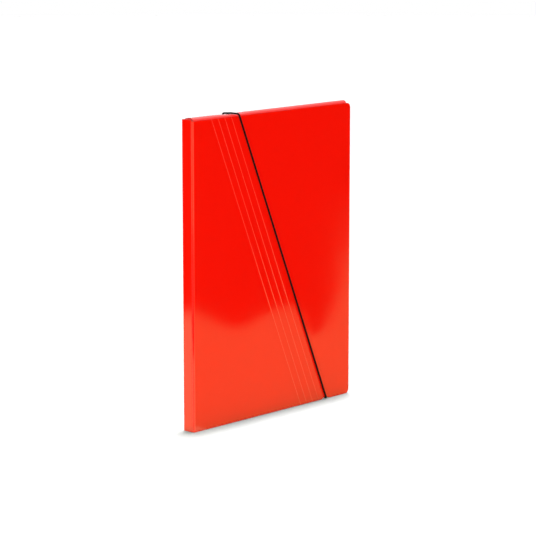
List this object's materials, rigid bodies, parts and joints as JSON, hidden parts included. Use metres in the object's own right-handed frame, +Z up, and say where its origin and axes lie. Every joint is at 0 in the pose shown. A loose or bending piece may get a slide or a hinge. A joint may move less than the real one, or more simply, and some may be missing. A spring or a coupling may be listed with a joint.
{
  "type": "elastic folder",
  "caption": "Closed A4 document folder of glossy red card, with a hinged front cover, folded inner flaps and a slanted black elastic.",
  "frame": {"origin": "centre of the closed folder's footprint, on the surface that it stands on", "axes": "+Z up along the spine, +X from the spine to the opening edge, front cover facing -Y"},
  "size_m": [0.24, 0.0184, 0.3228],
  "materials": {
    "red_card": "glossy laminated card",
    "black_elastic": "braided matt",
    "bar_steel": "nickel plated"
  },
  "bodies": {
    "back": {"folded_sheet": "red_card", "elastic_band": "black_elastic", "elastic_bar_upper": "bar_steel", "elastic_bar_lower": "bar_steel"},
    "cover": {"front_cover": "red_card"}
  },
  "joints": [
    {"name": "cover_hinge", "type": "hinge", "parent": "back", "child": "cover", "pos_m": [-0.11818, -0.00812, 0.16], "axis": [0, 0, -1], "range_deg": [0, 180], "deforming": ["elastic_band"]}
  ]
}
